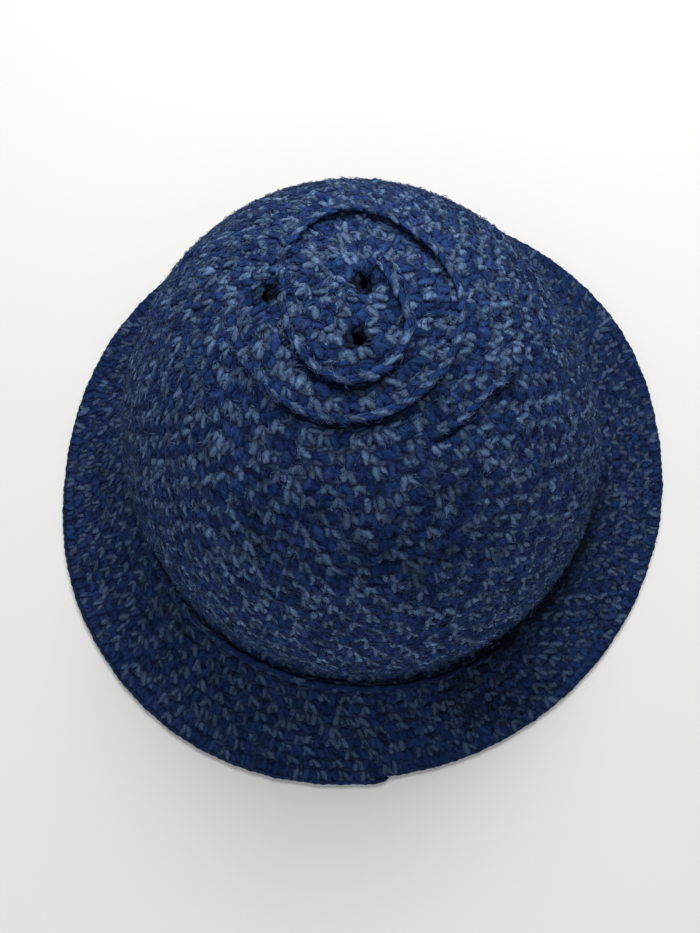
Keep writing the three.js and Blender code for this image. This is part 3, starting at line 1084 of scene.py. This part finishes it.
class HAT_OT_ground_cloth(HatOperator, bpy.types.Operator):
    """Makes the dark ground cloth of crown and brim that carries the stitches"""

    bl_idname = "hat.ground_cloth"
    bl_label = "Ground Cloth"

    def execute(self, context):
        look = self.look
        crown = add_object("crown_cloth", self.crown_mesh(look))
        cutter = hole_cutter()
        cut = crown.modifiers.new("loose gaps", "BOOLEAN")
        cut.operation = "DIFFERENCE"
        cut.solver = "EXACT"
        cut.object = cutter
        crown.data.materials.append(slot_material("ground", backing_material, "crown_yarn", look))
        plain_mesh(crown)
        bpy.data.objects.remove(cutter)
        brim = add_object("brim_cloth", self.brim_mesh(look))
        brim.data.materials.append(slot_material("ground", backing_material, "brim_yarn", look))
        settle(crown, "crown")
        settle(brim, "brim")
        return {"FINISHED"}

    def back_wave(self, rounds, angle, columns):
        """The low waves of the stitches' backs, from -1 to 1."""
        return np.cos(FULL_TURN * rounds) * np.cos(np.radians(angle) * columns / COLUMNS_PER_WAVE)

    def crown_mesh(self, look):
        """The crown's ground: smooth under the stitches, with the back of the rounds inside."""
        angle = np.arange(CROWN_COLUMNS) * 360 / CROWN_COLUMNS
        rounds = round(CROWN_LENGTH / look.crown_row)
        face = FACE_RINGS_PER_ROUND * rounds
        outside = [(distance, None) for distance in np.linspace(0, CROWN_LENGTH, face)]
        inside = [
            (distance, self.back_wave(distance / look.crown_row, angle, CROWN_COLUMNS))
            for distance in np.linspace(CROWN_LENGTH, 0, BACK_RINGS_PER_ROUND * rounds)
        ]
        rings = []
        for distance, wave in outside + inside:
            place, facing, _, _ = crown_frame(angle, np.full(CROWN_COLUMNS, distance))
            depth = SHELL_DEPTH if wave is None else FABRIC_THICKNESS + CROWN_BACK_WAVE * wave
            rings.append(place - facing * (depth + FUNNEL_DEPTH * gap_funnel(place))[:, None])
        for ring in rings[face - 1:face + 1]:
            ring[:, 2] -= JOIN_OVERLAP
        return shell_mesh("crown_cloth", rings, closed_ends=True)

    def brim_mesh(self, look):
        """The brim's ground: smooth above, with the back of the rounds underneath."""
        angle = END_ANGLE + np.arange(BRIM_COLUMNS) * 360 / BRIM_COLUMNS
        inner = -JOIN_OVERLAP / BRIM_WIDTH
        rings = []
        for share in np.linspace(inner, 1, FACE_RINGS_PER_ROUND * look.brim_rows):
            place, facing, _, downward = brim_frame(angle, np.full(BRIM_COLUMNS, share))
            tucked = place - facing * SHELL_DEPTH
            if share == 1:
                tucked = tucked - downward * SHELL_DEPTH
            rings.append(tucked)
        for share in np.linspace(1, inner, BACK_RINGS_PER_ROUND * look.brim_rows):
            under = brim_underside(angle, np.full(BRIM_COLUMNS, share))
            if share == 1:
                under = under - unit(under * (1, 1, 0)) * SHELL_DEPTH
            wave = self.back_wave(share * look.brim_rows, angle, BRIM_COLUMNS)
            under[:, 2] += BRIM_BACK_WAVE * (1 + wave)
            rings.append(under)
        return shell_mesh("brim_cloth", rings, closed_ends=False)


class HAT_OT_crown_stitches(HatOperator, bpy.types.Operator):
    """Crochets the crown in one spiral from the top to the join"""

    bl_idname = "hat.crown_stitches"
    bl_label = "Crown Stitches"

    def execute(self, context):
        look = self.look
        rng = np.random.default_rng(look.seed)
        shares, distances = [], []
        for row in range(round(CROWN_LENGTH / look.crown_row)):
            middle = (row + FIRST_ROUND + 0.5) * look.crown_row
            girth = FULL_TURN * np.interp(middle, MERIDIAN, MERIDIAN_RADIUS)
            count = max(LEAST_STITCHES, round(girth / look.stitch_width))
            shares.append((np.arange(count) + look.drift * row) / count)
            distances.append((row + FIRST_ROUND + np.arange(count) / count) * look.crown_row)
        distance = np.minimum(np.concatenate(distances), CROWN_LENGTH - JOIN_MARGIN)
        frames = crown_frame(END_ANGLE - 360 * np.concatenate(shares), distance)
        grey = checker(shares, look, rng)
        ridge = np.concatenate([ridge_path(line)[0] for line in (SPIRAL_RIDGE, FAINT_RIDGE)])
        legs = shade_patches(sink_into_creases(stitch_legs(frames, grey, look, rng), ridge))
        legs = keep_legs(legs, self.clear_of_holes(legs["place"]))
        loops = shade_patches(sink_into_creases(top_loops(frames, grey, look.crown_row, look, rng), ridge))
        # Painted shade between the rounds is lifted towards the top, where the light falls
        top = bump(distance / TOP_REACH)
        loops["tone"] = loops["tone"] * (1 + LOOP.top_tone * top)
        loops["dye"] = loops["dye"] + LOOP.top_dye * top
        loops = keep_legs(loops, self.clear_of_holes(loops["place"]))
        crochet("crown_loops", loops, "crown_yarn", look, LOOP_FACETS)
        for band in range(FIBRE_BANDS):
            fibres = loose_fibres(join_legs(legs, loops), look.crown_fibres // FIBRE_BANDS, look, rng)
            crochet(f"crown_fibres_{band + 1}", fibres, "crown_yarn", look, FIBRE_FACETS, FIBRE_ARCH)
        order = np.argsort(-legs["place"][:, 2], kind="stable")
        names = ("crown_top_stitches", "crown_middle_stitches", "crown_lower_stitches")
        for name, band in zip(names, np.array_split(order, len(names))):
            crochet(name, keep_legs(legs, band), "crown_yarn", look)
        return {"FINISHED"}

    def clear_of_holes(self, place):
        """Which legs leave the loose gaps open."""
        clear = np.ones(len(place), bool)
        for row in CROWN_HOLES:
            clear &= from_gap(place, row) > row["radius"] * MM - HOLE_COVER
        return clear


class HAT_OT_brim_stitches(HatOperator, bpy.types.Operator):
    """Crochets the brim in rounds from the join to the edge"""

    bl_idname = "hat.brim_stitches"
    bl_label = "Brim Stitches"

    def execute(self, context):
        look = self.look
        rng = np.random.default_rng(look.seed + 1)
        turns, shares = [], []
        for row in range(look.brim_rows):
            share = (row + 0.5) / look.brim_rows * (1 - EDGE_WIDTH / BRIM_WIDTH)
            girth = FULL_TURN * (JOIN_RADIUS + BRIM_WIDTH * share)
            count = round(girth / look.stitch_width)
            turns.append((np.arange(count) + look.drift * row) / count)
            shares.append(np.full(count, share))
        share = np.concatenate(shares)
        grey = checker(turns, look, rng) & (share < 1 - rng.random(len(share)) * NAVY_EDGE / look.brim_rows)
        angle = END_ANGLE - 360 * np.concatenate(turns)
        frames = brim_frame(angle, share)
        legs = shade_patches(stitch_legs(frames, grey, look, rng))
        loops = shade_patches(top_loops(frames, grey, BRIM_WIDTH / look.brim_rows, look, rng))
        for yarn in (legs, loops):
            yarn["leg_size"] = yarn["leg_size"] * (look.brim_relief, BRIM_LEG_SPREAD, BRIM_LEG_SPREAD)
            yarn["place"] = self.tucked_in(yarn)
        crochet("brim_loops", loops, "brim_yarn", look, LOOP_FACETS)
        fibres = loose_fibres(join_legs(legs, loops), look.brim_fibres, look, rng)
        crochet("brim_fibres", fibres, "brim_yarn", look, FIBRE_FACETS, FIBRE_ARCH)
        inner = np.tile(share < 0.5, 2)
        crochet("brim_inner_stitches", keep_legs(legs, inner), "brim_yarn", look)
        crochet("brim_outer_stitches", keep_legs(legs, ~inner), "brim_yarn", look)
        return {"FINISHED"}

    def tucked_in(self, legs):
        """The legs' places, drawn back where a leg would poke out over the brim's edge."""
        flat = (legs["place"] - HAT_SHIFT) * (1, 1, 0)
        ray = unit(flat)
        angle = np.degrees(np.arctan2(flat[:, 1], flat[:, 0]))
        outward = np.abs(np.sum(unit(legs["run"]) * ray, axis=1))
        reach = np.linalg.norm(flat, axis=1) + 0.5 * legs["leg_size"][:, 2] * outward
        over = np.maximum(reach + EDGE_MARGIN - edge_reach(angle), 0)
        return legs["place"] - ray * over[:, None]


class HAT_OT_ridges(HatOperator, bpy.types.Operator):
    """Lays the raised loops: the spiral on the top, the ridge at the join and the brim's edge"""

    bl_idname = "hat.ridges"
    bl_label = "Raised Ridges"

    def execute(self, context):
        look = self.look
        rng = np.random.default_rng(look.seed + 2)
        spiral = join_legs(self.spiral(rng), self.faint(rng))
        crochet("spiral_ridge", spiral, "crown_yarn", look)
        # Painted shadow: dark ropes under the ridges' front arcs
        creases = [self.crease(SPIRAL_RIDGE, SPIRAL_CREASE_END, rng), self.crease(FAINT_RIDGE, 1, rng)]
        crochet("ridge_crease_shadow", join_legs(*creases), "crown_yarn", look)
        fibres = loose_fibres(spiral, look.ridge_fibres, look, rng)
        crochet("ridge_fibres", fibres, "crown_yarn", look, FIBRE_FACETS, FIBRE_ARCH)
        crochet("join_ridge", self.join(rng), "brim_yarn", look)
        crochet("brim_edge", self.edge(rng), "brim_yarn", look, unevenness=EDGE_UNEVENNESS)
        return {"FINISHED"}

    def spiral(self, rng):
        """The raised front loops that wind round the crown's top, sunk where they are thin."""
        rope = rope_legs(*ridge_path(SPIRAL_RIDGE), SPIRAL_ROPE, rng)
        rope["tone"] = rope["tone"] * SPIRAL_TONE
        share = thin_out(rope, SPIRAL_FADE, to_end=False)
        rope["place"] = rope["place"] - rope["facing"] * (SPIRAL_SINK * (1 - share))[:, None]
        return rope

    def faint(self, rng):
        """The low ridge outside the spiral, on the side towards the brim's end."""
        rope = rope_legs(*ridge_path(FAINT_RIDGE), FAINT_ROPE, rng)
        thin_out(rope, FAINT_FADE)
        return rope

    def crease(self, ridge, end, rng):
        """The painted shadow under a ridge's front arcs: a rope of very dark yarn deep in the crease, up to
        a share of the ridge's length.
        """
        points, facing = ridge_path(ridge)
        used = round(end * len(points))
        front = np.array([0, -1, 0])
        path = points + (front - facing * (facing @ front)[:, None]) * CREASE_ASIDE
        rope = rope_legs(path[:used], facing[:used], CREASE_SHADOW_ROPE, rng)
        rope["leg_size"] = rope["leg_size"] * rng.uniform(*CREASE_SIZES, (len(rope["dye"]), 1))
        return keep_legs(rope, rope["place"][:, 1] < CREASE_FRONT)

    def join(self, rng):
        """The mostly navy ridge where the brim turns out from the crown."""
        angle = np.linspace(*JOIN_RIDGE_SPAN, JOIN_STEPS)
        share = JOIN_RIDGE_DISTANCE / (edge_reach(angle) - JOIN_RADIUS)
        rope = rope_legs(*brim_frame(angle, share)[:2], JOIN_ROPE, rng)
        thin_out(rope, JOIN_FADE)
        return shade_patches(rope)

    def edge(self, rng):
        """The navy round that closes the brim."""
        angle = END_ANGLE + np.linspace(END_CLEARANCE, 360 - END_CLEARANCE, EDGE_STEPS)
        height = foot_lift(angle) + 0.5 * FABRIC_THICKNESS
        place = on_ray(angle, edge_reach(angle) - EDGE_INSET, height)
        facing = unit(unit((place - HAT_SHIFT) * (1, 1, 0)) + (0, 0, EDGE_TILT))
        return rope_legs(place, facing, EDGE_ROPE, rng)


class HAT_OT_stage(HatOperator, bpy.types.Operator):
    """Sets the hat on a plain pale floor under soft light, before the camera"""

    bl_idname = "hat.stage"
    bl_label = "Stage"

    def execute(self, context):
        scene = context.scene
        stage = scene.hat_stage
        self.floor(stage)
        scene.world = scene.world or bpy.data.worlds.new("soft_sky")
        scene.world.use_nodes = True
        sky = scene.world.node_tree.nodes["Background"]
        sky.inputs["Color"].default_value = SKY_COLOUR
        sky.inputs["Strength"].default_value = stage.sky_strength
        self.lamp("key_light", KEY_PLACE, KEY_SIZE, stage.key_power)
        self.lamp("fill_light", FILL_PLACE, FILL_SIZE, stage.fill_power)
        camera = bpy.data.cameras.new("photo_camera")
        camera.sensor_fit = "VERTICAL"
        camera.sensor_height = SENSOR_HEIGHT_MM
        camera.lens = stage.lens
        camera.clip_start = NEAREST_SEEN
        eye = add_object("photo_camera", camera)
        eye.location = stage.camera_place
        eye.rotation_euler = (math.pi / 2 - stage.camera_drop, 0, 0)
        scene.camera = eye
        scene.view_settings.view_transform = "Standard"
        return {"FINISHED"}

    def floor(self, stage):
        """A wide plain floor under the brim."""
        mesh = bpy.data.meshes.new("floor")
        corners = [(x * FLOOR_HALF, y * FLOOR_HALF, 0) for x, y in ((-1, -1), (1, -1), (1, 1), (-1, 1))]
        mesh.from_pydata(corners, [], [(0, 1, 2, 3)])
        floor = add_object("floor", mesh)
        material, _, shader = principled("pale_floor")
        shader.inputs["Base Color"].default_value = (*stage.floor_colour, 1)
        shader.inputs["Roughness"].default_value = FLOOR_ROUGHNESS
        mesh.materials.append(material)

    def lamp(self, name, place, size, power):
        """A square soft light that points at the hat."""
        light = bpy.data.lights.new(name, "AREA")
        light.size = size
        light.energy = power
        lamp = add_object(name, light)
        lamp.location = place
        lamp.rotation_euler = (-lamp.location).to_track_quat("-Z", "Y").to_euler()


OPERATORS = (
    HAT_OT_ground_cloth,
    HAT_OT_crown_stitches,
    HAT_OT_brim_stitches,
    HAT_OT_ridges,
    HAT_OT_stage,
)


class VIEW3D_PT_hat(bpy.types.Panel):
    """The steps that make the hat, in order"""

    bl_label = "Crocheted Hat"
    bl_idname = "VIEW3D_PT_hat"
    bl_space_type = "VIEW_3D"
    bl_region_type = "UI"
    bl_category = "Hat"

    def draw(self, context):
        for operator in OPERATORS:
            self.layout.operator(operator.bl_idname)
        for settings in (context.scene.hat_look, context.scene.hat_stage):
            box = self.layout.box()
            for name in settings.__annotations__:
                box.prop(settings, name)


CLASSES = (HatLook, HatStage, *OPERATORS, VIEW3D_PT_hat)


def register():
    """Adds the hat's settings, operators and panel to Blender."""
    for item in CLASSES:
        bpy.utils.register_class(item)
    bpy.types.Scene.hat_look = bpy.props.PointerProperty(type=HatLook)
    bpy.types.Scene.hat_stage = bpy.props.PointerProperty(type=HatStage)


def unregister():
    """Takes the hat's settings, operators and panel out of Blender."""
    del bpy.types.Scene.hat_stage
    del bpy.types.Scene.hat_look
    for item in reversed(CLASSES):
        bpy.utils.unregister_class(item)


def main():
    """Makes the whole hat."""
    register()
    bpy.ops.hat.ground_cloth()
    bpy.ops.hat.crown_stitches()
    bpy.ops.hat.brim_stitches()
    bpy.ops.hat.ridges()
    bpy.ops.hat.stage()


if __name__ == "__main__":
    main()
